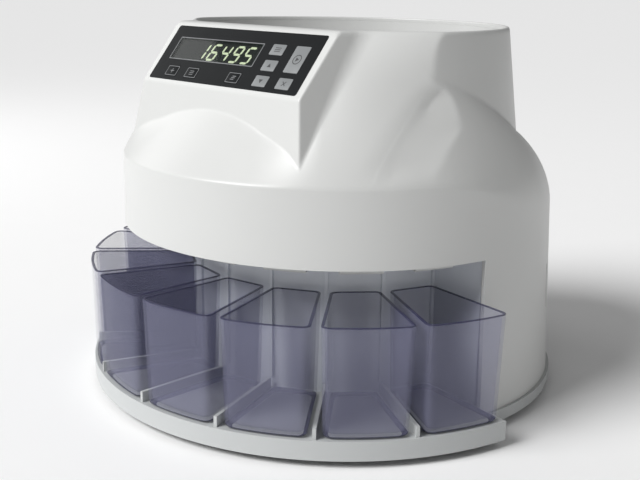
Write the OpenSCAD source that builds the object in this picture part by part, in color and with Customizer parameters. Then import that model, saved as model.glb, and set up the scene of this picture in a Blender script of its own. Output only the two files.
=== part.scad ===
// Desktop coin sorting machine. Origin on the axis of the round body, at table level.
// +Z is up, the front is towards -Y, and angles round the body count from the front towards +X.

/* [Body] */
// Radius of the front shelf, half of the overall width
shelf_r = 177.5; // [172:0.5:185]
// Radius of the round housing
body_r = 151; // [148:0.5:152]
// Height of the hopper rim above the table
rim_z = 250; // [248:0.5:252]
// Height of the shoulder edge round the front
shoulder_z = 162; // [158:0.5:166]
// Height of the skirt's lower edge above the cups
skirt_z = 114; // [112:0.5:116]
// Wall thickness of the housing
wall = 3; // [2.5:0.1:3.5]
// Half of the angle that the cup bay opens over
bay_half = 81; // [80:0.5:82]

/* [Hopper] */
// Radius of the hopper at its rim
hopper_r = 120.5; // [119:0.5:122]
// Distance from the body's axis to the hopper's centre, towards the front
hopper_fwd = 10; // [8:0.5:12]
// Distance of the opening's straight front edge from the axis
mouth_front = 73; // [71:0.5:75]

/* [Control panel] */
// Width of the black keypad sheet
panel_w = 145.4; // [140:0.2:148]
// Height of the black keypad sheet, measured up the slope
panel_l = 43.5; // [42:0.5:44]
// Angle between the sloping panel and the horizontal
panel_tilt = 50.6; // [48:0.2:53]
// Travel of a key
key_travel = 0.5; // [0.3:0.1:0.6]

/* [Coin cups] */
// Angle from one cup to the next
cup_pitch = 20.21; // [20:0.01:20.25]
// Distance from the axis to a cup's flat inner wall
cup_inner = 105.8; // [105:0.1:107]
// Height of a cup's rim above the table
cup_rim_z = 87.5; // [80:0.5:90]
// Gap between neighbouring cups
cup_gap = 5.6; // [5:0.1:6]
// Wall thickness of a cup
cup_wall = 2; // [1.6:0.1:2.4]

/* [Base] */
// Height of the rubber feet
foot_h = 5; // [4:0.5:6]
// Height of the shelf's top face
shelf_z = 17.5; // [17:0.5:18]
// Radius of the base behind the shelf
base_r = 156.5; // [155.5:0.5:158]
// Height of the base behind the shelf
base_z = 12.5; // [12:0.5:13]

/* [Drive] */
// Radius of the sorting disc
disc_r = 88; // [84:1:89]
// Radius of the disc's shaft
shaft_r = 4; // [4:1:4]
// Radius of the large belt pulley
drive_pulley_r = 44; // [40:1:46]
// Radius of the small belt pulley
motor_pulley_r = 11; // [10:0.5:12]
// Distance from the disc's axis to the motor's axis
motor_y = 68; // [67:0.5:70]

/* [Hidden] */
$fn = 96;
CUPS = 8;

housing_white = [0.90, 0.90, 0.89];
base_grey = [0.70, 0.72, 0.72];
cup_tint = [0.45, 0.45, 0.62, 0.5];
key_grey = [0.55, 0.57, 0.58];
part_black = [0.06, 0.06, 0.07];
steel = [0.72, 0.73, 0.75];
board_green = [0.10, 0.34, 0.20];

eps = 0.01;
clear = 0.3;
floor_t = 2.5;
floor_z = foot_h;
deck_z = skirt_z + 1;
deck_t = 2;
rail_z = 126;
rail_t = 2;
disc_z = 127.5;
disc_t = 3;
core_r = 102.3;
core_t = 2.5;
pulley_z = 64;
pulley_t = 10;
fin_t = 2.2;
fin_h = 7;
rear_flat_y = 137.5;
rear_half_w = 54;
rear_low = 24;
rear_high = 60;

// ---- Shape of the housing: its outer radius for an angle f from the front and a height z ----
skirt_fwd = 2.5;
skirt_draft = 0.015;
rear_draft = 0.035;
ramp_lean = 0.71;
scoop_lean = 0.33;
side_tuck = 6.5;
valley_from = 51;
valley_rise = 0.169;
valley_bend = 0.00287;
strip_turn = 57;
strip_twist = 0.0089;
cut_end = 76;
hopper_draft = 0.121;
dome_drop = 26;
dome_arc = 51.4;
dome_top_front = 232;
dome_top_rear = 178;
dome_foot_rear = 126;

function clamp01(t) = max(0, min(1, t));
function ease(a, b, x) = let (t = clamp01((x - a) / (b - a))) t * t * (3 - 2 * t);
// Distance from the axis, in direction f, to a circle of radius r whose centre is at y = c
function reach(f, c, r) = -c * cos(f) + sqrt(r * r - pow(c * sin(f), 2));
function skirt_at(f, z) =
    reach(f, -skirt_fwd, body_r) + (skirt_draft + rear_draft * (1 - cos(f)) / 2) * max(0, shoulder_z - 30 - z);
// Slope from the shoulder up to the mouth, drawn in a little at its sides
function slope_at(f, z) =
    let (lean = ramp_lean + scoop_lean * (1 - ease(22, 40, f)))
    let (tuck = side_tuck * ease(44, 74, f) * ease(166, 214, z) * (1 - ease(214, 248, z)))
    reach(f, lean * (z - shoulder_z) - skirt_fwd, body_r) - tuck;
// Direction of the line where the slope meets the flat strip beside it
function valley_at(z) =
    valley_from + valley_rise * (z - shoulder_z) + valley_bend * pow(z - shoulder_z, 2);
function strip_at(f, z) =
    let (start = valley_at(z))
    let (turn = strip_turn + strip_twist * pow(z - shoulder_z, 2))
    slope_at(start, z) * cos(start - turn) / max(0.2, cos(f - turn));
function ramp_at(f, z) =
    z < shoulder_z || f > 100 ? 2 * body_r
    : f < valley_at(z) ? slope_at(f, z)
    : strip_at(f, z);
function hopper_cut_at(f, z) =
    z < shoulder_z || f > cut_end ? hopper_at(f, z) : min(slope_at(f, z), hopper_at(f, z));
function hopper_at(f, z) = reach(f, -hopper_fwd, hopper_r + (rim_z - z) * hopper_draft);
function dome_at(f, z) =
    let (foot = shoulder_z - (shoulder_z - dome_foot_rear) * ease(66, 125, f))
    let (top = dome_top_front - (dome_top_front - dome_top_rear) * ease(52, 130, f))
    let (t = max(0, min(1.2, (z - foot) / (top - foot))))
    let (arc = (1 - cos(asin(t * sin(dome_arc)))) / (1 - cos(dome_arc)))
    let (round = ease(62, 112, f))
    skirt_at(f, min(z, foot)) - dome_drop * ((1 - round) * t + round * arc);
function outer_at(f, z) =
    min(skirt_at(f, z), max(hopper_cut_at(f, z), min(ramp_at(f, z), dome_at(f, z))));

ring_steps = 84;
ring_z = [base_z, 66, 100, 128, 142, 152, shoulder_z, 168, 175, 182, 190, 198, 206, 214, 222, 230, 240, rim_z];

function ring_point(i, z, inset) =
    let (a = i * 360 / ring_steps)
    let (f = a > 180 ? 360 - a : a)
    let (r = outer_at(f, z) - inset)
    [r * sin(a), -r * cos(a), z];

// The closed body of the housing, drawn in by inset, from its foot to its rim plus the extra height
module round_body(inset, low, high) {
    levels = [for (i = [0 : len(ring_z) - 1]) i == 0 ? low : ring_z[i]];
    shape_z = [for (z = levels) max(z, base_z)];
    count = len(levels);
    points = concat(
        [for (k = [0 : count - 1]) for (i = [0 : ring_steps - 1])
            let (p = ring_point(i, shape_z[k], inset)) [p[0], p[1], k == count - 1 ? high : levels[k]]],
        [[0, 0, low], [0, 0, high]]);
    sides = [for (k = [0 : count - 2]) for (i = [0 : ring_steps - 1])
        let (j = (i + 1) % ring_steps) let (a = k * ring_steps) let (b = a + ring_steps)
        each [[a + i, b + i, a + j], [a + j, b + i, b + j]]];
    last = (count - 1) * ring_steps;
    floor_faces = [for (i = [0 : ring_steps - 1]) [count * ring_steps, i, (i + 1) % ring_steps]];
    roof_faces = [for (i = [0 : ring_steps - 1])
        [count * ring_steps + 1, last + (i + 1) % ring_steps, last + i]];
    polyhedron(points = points, faces = concat(sides, floor_faces, roof_faces), convexity = 8);
}

// ---- Sloping panel: its centre, and a frame with X across, Y up the slope and Z outwards ----
panel_y = -98.6;
panel_z = 230.15;
bezel = 2.4;
front_lean = 0.15;
side_base = 154.2;
side_y = 0.287;
side_z = 0.208;
sheet_t = 0.8;
console_back = -62;

module on_panel() {
    translate([0, panel_y, panel_z]) rotate([panel_tilt, 0, 0]) children();
}
function slope_point(v) = [panel_y + v * cos(panel_tilt), panel_z + v * sin(panel_tilt)];
function console_side(p) = side_base + side_y * p[0] - side_z * p[1];

// The wedge that carries the panel, drawn in by inset; its sides splay towards the foot and the back
module console(inset) {
    low = slope_point(-panel_l / 2 - bezel);
    high = slope_point(panel_l / 2 + bezel + 1);
    out = [sin(panel_tilt), -cos(panel_tilt)];
    foot_z = shoulder_z - 8;
    foot = [low[0] - front_lean * (low[1] - foot_z), foot_z];
    back = console_back + inset * 3;
    profile = [[foot[0] + inset, foot[1]], [low[0] + inset, low[1] - 0.4 * inset],
        [high[0] + out[0] * inset, high[1] + out[1] * inset - 0.3 * inset], [high[0] + 4, rim_z - inset],
        [back, rim_z - inset], [back, foot_z]];
    n = len(profile);
    points = [for (s = [-1, 1]) for (p = profile) [s * (console_side(p) - inset), p[0], p[1]]];
    rims = [for (i = [0 : n - 1]) let (j = (i + 1) % n) each [[i, j, n + j], [i, n + j, n + i]]];
    fans = [for (i = [1 : n - 2]) each [[0, i + 1, i], [n, n + i, n + i + 1]]];
    polyhedron(points = points, faces = concat(rims, fans), convexity = 4);
}

// ---- Helpers ----
module ring(r_out, r_in, low, high) {
    translate([0, 0, low]) difference() {
        cylinder(r = r_out, h = high - low);
        translate([0, 0, -1]) cylinder(r = r_in, h = high - low + 2);
    }
}
// A flat sector that covers the angles from -half to half round the front
function sector(half, r, step = 6) = concat([[0, 0]],
    [for (i = [0 : step]) let (a = -half + 2 * half * i / step) let (rr = r / cos(half / step))
        [rr * sin(a), -rr * cos(a)]]);
module at_angle(f, r) {
    rotate([0, 0, f]) translate([0, -r, 0]) children();
}
module block(x, y, z) {
    translate([x[0], y[0], z[0]]) cube([x[1] - x[0], y[1] - y[0], z[1] - z[0]]);
}
function cup_angle(i) = (i - (CUPS + 1) / 2) * cup_pitch;

// ---- Base ----
foot_spots = [[50, 160], [-50, 160], [140, 138], [-140, 138], [0, 0]];
// Screws up into the drum's posts in front and the housing's posts behind: angle and distance from the axis
drum_screws = [[30, 90], [-30, 90]];
housing_screw_spots = [[112, 144.5], [-112, 144.5], [152, 143.5], [-152, 143.5]];
screw_r = 1.9;
post_r = 5;
post_top = 45;
floor_top = floor_z + floor_t;

// A hollow post that stands on the base's floor, with a rib that reaches out to the wall beside it
module screw_post(s, rib_out, rib_low) {
    at_angle(s[0], s[1]) {
        translate([0, 0, floor_top]) difference() {
            cylinder(r = post_r, h = post_top - floor_top, $fn = 48);
            translate([0, 0, -1]) cylinder(r = screw_r + 0.05, h = 16, $fn = 32);
        }
        block([-1.2, 1.2], [-rib_out, -post_r + 0.5], [rib_low, post_top]);
    }
}

module base_pan() {
    color(base_grey) difference() {
        union() {
            translate([0, 0, floor_z]) cylinder(r = base_r, h = base_z - floor_z);
            intersection() {
                translate([0, 0, floor_z]) cylinder(r = shelf_r, h = shelf_z - floor_z);
                linear_extrude(height = 40) polygon(sector(bay_half - 0.2, 260));
            }
            // Fins between neighbouring cups
            for (i = [1 : CUPS - 1]) {
                rotate([0, 0, cup_angle(i + 0.5)])
                    block([-fin_t / 2, fin_t / 2], [-shelf_r + 1.5, -cup_inner - 1], [shelf_z - 1, shelf_z + fin_h]);
            }
        }
        // The hollow under the housing and the drum, open at the top
        difference() {
            translate([0, 0, floor_top]) cylinder(r = base_r - 5.5, h = 20);
            translate([0, 0, floor_z]) linear_extrude(height = 30) difference() {
                polygon(sector(bay_half + 3.5, 260));
                circle(r = core_r - 6);
            }
            for (p = main_posts) {
                translate([p[0], p[1], floor_z]) cylinder(r = 3, h = main_low - floor_z, $fn = 32);
            }
        }
        for (p = main_posts) {
            translate([p[0], p[1], floor_top]) cylinder(r = board_screw_r + 0.05, h = 20, $fn = 32);
        }
        // The hollow under the shelf, open at the bottom
        intersection() {
            ring(shelf_r - 3, core_r + 4, floor_z - 1, shelf_z - 3);
            translate([0, 0, floor_z - 1]) linear_extrude(height = 30) polygon(sector(bay_half - 1.5, 260));
        }
        for (s = concat(drum_screws, housing_screw_spots)) {
            at_angle(s[0], s[1]) translate([0, 0, floor_z - 1]) cylinder(r = screw_r + 0.1, h = 5, $fn = 32);
        }
        // Cooling slots under the rear
        for (i = [-3 : 3]) {
            translate([i * 9, 0, 0]) block([-2, 2], [104, 128], [floor_z - 1, floor_z + 5]);
        }
    }
}

module rubber_feet() {
    color(part_black) for (s = foot_spots) {
        top = s[1] > base_r ? shelf_z - 3 : floor_z;
        at_angle(s[0], s[1]) union() {
            cylinder(r1 = 6.5, r2 = 8, h = floor_z, $fn = 48);
            cylinder(r = 5, h = top, $fn = 48);
        }
    }
}

// ---- Drum and cheeks that close off the cup bay ----
function drum_corner(a, r) = let (rr = r / cos(cup_pitch / 2)) [rr * sin(a), -rr * cos(a)];
function drum_outline(r) = concat([drum_corner(-bay_half - 2, r)],
    [for (i = [0 : CUPS]) drum_corner(cup_angle(i + 0.5), r)], [drum_corner(bay_half + 2, r)]);
function backwards(list) = [for (i = [len(list) - 1 : -1 : 0]) list[i]];

module drum_wall(r_out, r_in) {
    polygon(concat(drum_outline(r_out), backwards(drum_outline(r_in))));
}

module core_drum() {
    rib_out = core_r + 3.2;
    cheek_out = body_r - wall - 1.5;
    color(housing_white) union() {
        translate([0, 0, shelf_z]) union() {
            linear_extrude(height = deck_z - shelf_z - eps) drum_wall(core_r, core_r - core_t);
            for (i = [0 : CUPS]) {
                rotate([0, 0, cup_angle(i + 0.5)])
                    block([-1.2, 1.2], [-rib_out, -core_r + core_t / 2], [fin_h + 0.5, deck_z - shelf_z - eps]);
            }
            for (s = [-1, 1]) {
                rotate([0, 0, s * (bay_half + 1.4)])
                    block([-1.2, 1.2], [-cheek_out, -core_r + 1], [base_z - shelf_z, deck_z - shelf_z - eps]);
            }
        }
        for (s = drum_screws) {
            screw_post(s, core_r - core_t / 2 - s[1], shelf_z + eps);
        }
    }
}

// ---- Deck, chutes and sizing rail ----
function coin_size(i) = [16.25, 18.75, 19.75, 21.25, 22.25, 23.25, 24.25, 25.75][i - 1];
chute_in = 104;
chute_out = 134;
chute_w = 27;
chute_foot = 107;

module deck_plate() {
    color(steel) difference() {
        translate([0, 0, deck_z]) cylinder(r = 143, h = deck_t);
        translate([0, 0, deck_z - 1]) cylinder(r = 14.2, h = deck_t + 2);
        for (i = [1 : CUPS]) {
            at_angle(cup_angle(i), 0)
                block([-chute_w / 2 - 0.5, chute_w / 2 + 0.5], [-chute_out - 0.5, -chute_in + 0.5],
                    [deck_z - 1, deck_z + deck_t + 1]);
        }
        for (a = [45 : 90 : 315]) {
            at_angle(a, 22) translate([0, 0, deck_z - 1]) cylinder(r = 1.6, h = deck_t + 2, $fn = 32);
        }
    }
}

module chute_ring() {
    plate_low = deck_z + deck_t;
    color(housing_white) difference() {
        union() {
            ring(140, 96, plate_low, plate_low + 2);
            for (i = [1 : CUPS]) {
                at_angle(cup_angle(i), 0)
                    block([-chute_w / 2, chute_w / 2], [-chute_out, -chute_in], [chute_foot, rail_z - eps]);
            }
        }
        for (i = [1 : CUPS]) {
            at_angle(cup_angle(i), 0)
                block([-chute_w / 2 + 1.5, chute_w / 2 - 1.5], [-chute_out + 1.5, -chute_in + 1.5],
                    [chute_foot - 1, rail_z + 1]);
        }
    }
}

module sizing_rail() {
    color(steel) difference() {
        union() {
            ring(136, disc_r + 1.2, rail_z, rail_z + rail_t);
            ring(136, 133.5, rail_z, rail_z + 7);
        }
        for (i = [1 : CUPS]) {
            at_angle(cup_angle(i), 119) translate([0, 0, rail_z - 1]) cylinder(d = coin_size(i), h = 4);
        }
    }
}

// ---- Hopper ----
// Outline of the hopper's mouth, drawn in by inset
module mouth(inset) {
    intersection() {
        translate([0, -hopper_fwd]) circle(r = hopper_r - wall - inset);
        translate([0, ramp_lean * (rim_z - shoulder_z) - skirt_fwd]) circle(r = body_r - wall - inset);
        translate([-200, -mouth_front + inset]) square([400, 300]);
    }
}

module bowl_space(inset, low, high) {
    hull() {
        translate([0, 0, high - eps]) linear_extrude(height = eps) mouth(inset);
        translate([0, 0, low]) cylinder(r = disc_r + 4 - inset, h = eps);
    }
}

bowl_low = rail_z + 11;
bowl_high = rim_z - wall;
module hopper_bowl() {
    foot_r = 91;
    flange_r = 136;
    color(housing_white) union() {
        difference() {
            bowl_space(0.6, bowl_low, bowl_high);
            bowl_space(2.4, bowl_low - eps, bowl_high + eps);
        }
        ring(flange_r, foot_r, bowl_low, bowl_low + 2);
        for (a = [30, 75, 200, 245, 290, 335]) {
            at_angle(a, 0) block([-6, 6], [-flange_r + 0.2, -flange_r + 2.5], [rail_z + 7, bowl_low + 1]);
        }
    }
}

module coin_deflector() {
    arm_low = rail_z + 7;
    color(part_black) at_angle(150, 0) union() {
        block([-7, 7], [-135.5, -disc_r + 26], [arm_low, arm_low + 3]);
        translate([0, -disc_r + 3, disc_z + disc_t + 0.5]) cylinder(r = 2.4, h = 4, $fn = 48);
    }
}

// ---- Sorting disc and its drive ----
module sorting_disc() {
    color(steel) difference() {
        union() {
            translate([0, 0, disc_z]) cylinder(r = disc_r, h = disc_t);
            translate([0, 0, disc_z - 8]) cylinder(r = 14, h = 8.5);
        }
        translate([0, 0, disc_z - 9]) cylinder(r = shaft_r, h = 20);
    }
}

module disc_pad() {
    color(part_black) ring(disc_r - 6, 30, disc_z + disc_t, disc_z + disc_t + 1.5);
}

module hub_cap() {
    color(part_black) union() {
        translate([0, 0, disc_z + disc_t]) cylinder(r = 26, h = 4);
        translate([0, 0, disc_z + disc_t + 4]) cylinder(r1 = 26, r2 = 8, h = 12);
    }
}

module drive_shaft() {
    color(steel) translate([0, 0, pulley_z - 4]) cylinder(r = shaft_r, h = disc_z + disc_t - pulley_z + 4);
}

module bearing_block() {
    low = 84;
    color([0.6, 0.62, 0.64]) difference() {
        union() {
            translate([0, 0, low]) cylinder(r = 14, h = deck_z + deck_t - low);
            translate([0, 0, deck_z - 3]) cylinder(r = 28, h = 3 - eps);
        }
        translate([0, 0, low - 1]) cylinder(r = 6, h = 60);
        translate([0, 0, low - 1]) cylinder(r = 11, h = 8);
        translate([0, 0, deck_z + deck_t - 7]) cylinder(r = 11, h = 8);
        for (a = [45 : 90 : 315]) {
            at_angle(a, 22) translate([0, 0, deck_z - 4]) cylinder(r = 1.6, h = 6, $fn = 32);
        }
    }
}

module ball_bearing(low) {
    color(steel) ring(11, shaft_r + 0.05, low, low + 7);
}
module upper_bearing() {
    ball_bearing(deck_z + deck_t - 7);
}
module lower_bearing() {
    ball_bearing(84);
}

module belt_pulley(r, bore) {
    difference() {
        union() {
            cylinder(r = r, h = pulley_t);
            cylinder(r = r + 2, h = 1.5);
            translate([0, 0, pulley_t - 1.5]) cylinder(r = r + 2, h = 1.5);
        }
        translate([0, 0, -1]) cylinder(r = bore, h = pulley_t + 2);
    }
}

module drive_pulley() {
    color(part_black) translate([0, 0, pulley_z]) difference() {
        belt_pulley(drive_pulley_r, shaft_r);
        for (a = [0 : 60 : 300]) {
            at_angle(a, 25) translate([0, 0, -1]) cylinder(r = 9, h = pulley_t + 2);
        }
    }
}

module motor_pulley() {
    color(steel) translate([0, motor_y, pulley_z]) belt_pulley(motor_pulley_r, 2);
}

module motor_shaft() {
    color(steel) translate([0, motor_y, 45]) cylinder(r = 2, h = pulley_z + pulley_t + 2 - 45);
}

module belt_outline(grow) {
    a = asin((drive_pulley_r - motor_pulley_r) / motor_y);
    big = drive_pulley_r + grow;
    small = motor_pulley_r + grow;
    circle(r = big);
    translate([0, motor_y]) circle(r = small);
    polygon([[big * cos(a), big * sin(a)], [small * cos(a), motor_y + small * sin(a)],
        [-small * cos(a), motor_y + small * sin(a)], [-big * cos(a), big * sin(a)]]);
}

module drive_belt() {
    color(part_black) translate([0, 0, pulley_z + 2]) linear_extrude(height = pulley_t - 4) difference() {
        belt_outline(1.7);
        belt_outline(clear);
    }
}

module motor() {
    color(steel) translate([0, motor_y, 0]) difference() {
        union() {
            translate([0, 0, 12]) cylinder(r = 24, h = bracket_top - bracket_t - 12);
            translate([0, 0, 50]) cylinder(r = 8.9, h = bracket_top - 50);
            translate([0, 0, 9]) cylinder(r = 8, h = 4);
        }
        translate([0, 0, 44]) cylinder(r = 2.05, h = 20);
    }
}

bracket_top = 58.5;
bracket_t = 2.5;
module motor_bracket() {
    color(steel) translate([0, motor_y, 0]) difference() {
        block([-32, 32], [-22, 22], [floor_top, bracket_top]);
        block([-30, 30], [-23, 23], [floor_top - 1, bracket_top - bracket_t]);
        translate([0, 0, bracket_top - 4]) cylinder(r = 9, h = 6);
    }
}

// ---- Electronics ----
board_t = 1.6;
main_low = 14;
main_x = [38, 108];
main_y = [32, 92];
main_posts = [for (x = main_x) for (y = main_y) [x + (x < 60 ? 4 : -4), y + (y < 60 ? 4 : -4)]];
board_screw_r = 1.3;

module main_board() {
    top = main_low + board_t;
    color(board_green) difference() {
        union() {
            block(main_x, main_y, [main_low, top]);
            block([52, 66], [44, 58], [top - eps, top + 2.4]);
            block([72, 96], [40, 48], [top - eps, top + 7]);
            block([48, 60], [74, 86], [top - eps, top + 10]);
            for (x = [70, 82, 94]) {
                translate([x, 72, top - eps]) cylinder(r = 5, h = 14, $fn = 48);
            }
        }
        for (p = main_posts) {
            translate([p[0], p[1], main_low - 1]) cylinder(r = board_screw_r + 0.1, h = 4, $fn = 32);
        }
    }
}

// Mounting plate, and a transformer's core with its winding
module power_supply() {
    core_low = floor_top + 3;
    color(steel) union() {
        block([-108, -46], [30, 84], [floor_top, core_low]);
        block([-100, -54], [38, 76], [core_low - eps, 46]);
        block([-92, -62], [34, 80], [14, 40]);
    }
}

// Half width and half height of the bodies set into the rear panel, and where each is centred across
inlet_size = [13.8, 10];
inlet_x = -30;
switch_size = [6, 9.5];
port_size = [8, 7];
port_x = 30;
rear_mid = (rear_low + rear_high) / 2;

module rear_block(x, size, back, front) {
    block([x - size[0], x + size[0]], [rear_flat_y + back, rear_flat_y + front],
        [rear_mid - size[1], rear_mid + size[1]]);
}
function grown(size, g) = [size[0] + g, size[1] + g];

module rear_panel() {
    color([0.2, 0.2, 0.21]) difference() {
        union() {
            rear_block(0, [rear_half_w + 3, rear_mid - rear_low + 3], -2.5, -0.1);
            intersection() {
                rear_block(0, [rear_half_w, rear_mid - rear_low], -2.5, 20);
                translate([0, 0, rear_low - 1]) cylinder(r = body_r + 1.5, h = 60);
            }
        }
        rear_block(0, [rear_half_w - 2, rear_mid - rear_low - 2], 0, 30);
        rear_block(inlet_x, grown(inlet_size, 0.2), -10, 10);
        rear_block(0, grown(switch_size, 0.2), -10, 10);
        rear_block(port_x, grown(port_size, 0.2), -10, 10);
    }
}

module mains_inlet() {
    color(part_black) difference() {
        union() {
            rear_block(inlet_x, inlet_size, -20, 0);
            rear_block(inlet_x, grown(inlet_size, 2.5), 0, 2);
        }
        rear_block(inlet_x, grown(inlet_size, -2), -16, 10);
    }
}

module switch_body() {
    color(part_black) difference() {
        union() {
            rear_block(0, switch_size, -13, 0);
            rear_block(0, grown(switch_size, 1.5), 0, 1.5);
        }
        rear_block(0, grown(switch_size, -1.2), -8, 10);
    }
}

rocker_y = rear_flat_y - 2.5;
rocker_tilt = 7;
module power_rocker() {
    color([0.12, 0.12, 0.13]) translate([0, rocker_y, rear_mid]) rotate([rocker_tilt, 0, 0]) intersection() {
        union() {
            rotate([0, 90, 0]) cylinder(r = 3, h = 8.8, center = true);
            rotate([rocker_tilt, 0, 0]) block([-4.4, 4.4], [0, 5.2], [-7.6, 0]);
            rotate([-rocker_tilt, 0, 0]) block([-4.4, 4.4], [0, 5.2], [0, 7.6]);
        }
        rotate([0, 90, 0]) cylinder(r = 7.9, h = 20, center = true);
    }
}

module data_port() {
    color(part_black) difference() {
        union() {
            rear_block(port_x, port_size, -13, 0);
            rear_block(port_x, grown(port_size, 1.5), 0, 1);
        }
        rear_block(port_x, grown(port_size, -2), -9, 10);
    }
}

// ---- Housing ----
window_half = 66.5;
board_top = -7;
board_posts = [for (x = [-69.7, 69.7]) for (y = [-15.5, 15.5]) [x, y]];

// The cup bay, the hopper, the panel's window, the connector window and the vents
module housing_cuts() {
    translate([0, 0, -1]) linear_extrude(height = skirt_z + 1) polygon(sector(bay_half, 260));
    translate([0, 0, bowl_high - 3]) linear_extrude(height = 8) mouth(0);
    bowl_space(0, bowl_low - 2, bowl_high);
    on_panel() block([-panel_w / 2 - clear, panel_w / 2 + clear], [-panel_l / 2 - clear, panel_l / 2 + clear],
        [-sheet_t, 20]);
    on_panel() block([-window_half, window_half], [-panel_l / 2 + 2.5, panel_l / 2 - 2.5], [-8, 1]);
    block([-rear_half_w - clear, rear_half_w + clear], [120, 180], [rear_low - clear, rear_high + clear]);
    for (s = [-1, 1]) {
        for (k = [-3 : 3]) {
            rotate([0, 0, 180 + s * 52 + k * 4]) block([-1.2, 1.2], [-180, -120], [60, 92]);
        }
    }
}

module top_housing() {
    color(housing_white) difference() {
        union() {
            difference() {
                union() {
                    round_body(0, base_z, rim_z);
                    console(0);
                }
                round_body(wall, base_z - 4, rim_z + 4);
                console(wall);
            }
            for (p = board_posts) {
                on_panel() translate([p[0], p[1], board_top]) cylinder(r = 2.6, h = 4.5, $fn = 32);
            }
            for (s = housing_screw_spots) {
                screw_post(s, post_r + 2.5, base_z);
            }
        }
        for (p = board_posts) {
            on_panel() translate([p[0], p[1], board_top - 1]) cylinder(r = board_screw_r + 0.05, h = 4.5, $fn = 32);
        }
        housing_cuts();
    }
}

// ---- Control panel ----
LCD = [-20.9, 3.6, 85.5, 18];
key_w = 12;
key_l = 8;
function key_spot(name) =
    name == "menu_key" ? [36.2, 8.8, key_w, key_l] :
    name == "up_key" ? [36.8, -3.1, key_w, key_l] :
    name == "down_key" ? [36.9, -14.7, key_w, key_l] :
    name == "clear_key" ? [57.9, -14.7, key_w, key_l] :
    name == "start_key" ? [57.4, 3, 12.6, 19.5] :
    name == "add_key" ? [-52, -14.7, key_w, key_l] :
    name == "print_key" ? [-31.3, -14.7, key_w, key_l] : [11, -14.7, key_w, key_l];
KEYS = ["menu_key", "up_key", "down_key", "clear_key", "start_key", "add_key", "print_key", "batch_key"];

module rounded_pad(w, l, r, low, high) {
    translate([0, 0, low]) linear_extrude(height = high - low) {
        square([w - 2 * r, l], center = true);
        square([w, l - 2 * r], center = true);
        for (x = [-1, 1]) {
            for (y = [-1, 1]) {
                translate([x * (w / 2 - r), y * (l / 2 - r)]) circle(r = r, $fn = 32);
            }
        }
    }
}

module panel_overlay() {
    color(part_black) on_panel() difference() {
        rounded_pad(panel_w, panel_l, 1.5, -sheet_t, 0);
        translate([LCD[0], LCD[1], 0]) rounded_pad(LCD[2] + 0.1, LCD[3] + 0.1, 0.6, -2, 2);
        for (k = KEYS) {
            s = key_spot(k);
            translate([s[0], s[1], 0]) rounded_pad(s[2] + 0.6, s[3] + 0.6, 0.9, -2, 2);
        }
    }
}

module lcd_window() {
    color([0.35, 0.42, 0.4, 0.6]) on_panel() translate([LCD[0], LCD[1], 0])
        rounded_pad(LCD[2], LCD[3], 0.5, -sheet_t, 0);
}

module lcd_module() {
    color([0.15, 0.17, 0.16]) on_panel() union() {
        block([LCD[0] - 41, LCD[0] + 41], [LCD[1] - 8.5, LCD[1] + 8.5], [-4.5, -sheet_t - 0.1]);
        block([LCD[0] - 38, LCD[0] + 38], [LCD[1] - 7, LCD[1] + 7], [board_top, -4.4]);
    }
}

module display_board() {
    color(board_green) on_panel() difference() {
        block([-72, 72], [-18.8, 18.8], [board_top - board_t, board_top]);
        for (p = board_posts) {
            translate([p[0], p[1], board_top - 3]) cylinder(r = board_screw_r + 0.1, h = 5, $fn = 32);
        }
    }
}

switch_top = -3.2;
module key_switches() {
    color(part_black) on_panel() for (k = KEYS) {
        s = key_spot(k);
        translate([s[0], s[1], 0]) union() {
            block([-3, 3], [-3, 3], [board_top, -4]);
            translate([0, 0, -4 - eps]) cylinder(r = 1.6, h = 4 + switch_top, $fn = 32);
        }
    }
}

module key_pad(name, tone) {
    s = key_spot(name);
    stem_low = switch_top + key_travel + 0.35;
    color(tone) on_panel() translate([s[0], s[1], 0]) union() {
        rounded_pad(s[2], s[3], 0.7, -sheet_t - 0.6, 0.3);
        translate([0, 0, stem_low]) cylinder(r = 1.4, h = -stem_low - sheet_t, $fn = 32);
    }
}

// ---- Coin cups ----
// Plan of a cup that points to the front; its sides run parallel to the lines between the cups
module cup_plan(inset) {
    half = cup_pitch / 2;
    edge = (cup_gap / 2 + inset) / cos(half);
    near = cup_inner + inset;
    far = shelf_r + 20;
    intersection() {
        circle(r = shelf_r - inset, $fn = 180);
        polygon([[-near * tan(half) + edge, -near], [near * tan(half) - edge, -near],
            [far * tan(half) - edge, -far], [-far * tan(half) + edge, -far]]);
    }
}

module coin_cup(i) {
    low = shelf_z + clear;
    color(cup_tint) rotate([0, 0, cup_angle(i)]) difference() {
        translate([0, 0, low]) linear_extrude(height = cup_rim_z - low) cup_plan(0);
        translate([0, 0, low + cup_wall]) linear_extrude(height = cup_rim_z) cup_plan(cup_wall);
    }
}

// ---- Sensor and fasteners ----
module coin_sensor() {
    color(board_green) at_angle(100, 0) union() {
        block([-12, 12], [-132, -112], [rail_z + 9, rail_z + 10.6]);
        block([-5, 5], [-130, -124], [rail_z + rail_t, rail_z + 9.1]);
    }
}

module cap_screw(head_low, head_r, head_h, r, length) {
    translate([0, 0, head_low]) cylinder(r = head_r, h = head_h, $fn = 32);
    translate([0, 0, head_low + head_h - eps]) cylinder(r = r, h = length, $fn = 32);
}

module housing_screws() {
    head_h = 2.6;
    color(steel) for (s = concat(drum_screws, housing_screw_spots)) {
        at_angle(s[0], s[1]) cap_screw(floor_z - head_h, 3.5, head_h, screw_r, 12);
    }
}

module board_screws() {
    color(steel) union() {
        for (p = board_posts) {
            on_panel() translate([p[0], p[1], board_top - board_t]) cap_screw(-2.2, 2.6, 2.2, board_screw_r, 4.5);
        }
        for (p = main_posts) {
            translate([p[0], p[1], main_low + board_t]) mirror([0, 0, 1])
                cap_screw(-2.2, 2.6, 2.2, board_screw_r, 6);
        }
    }
}

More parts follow.
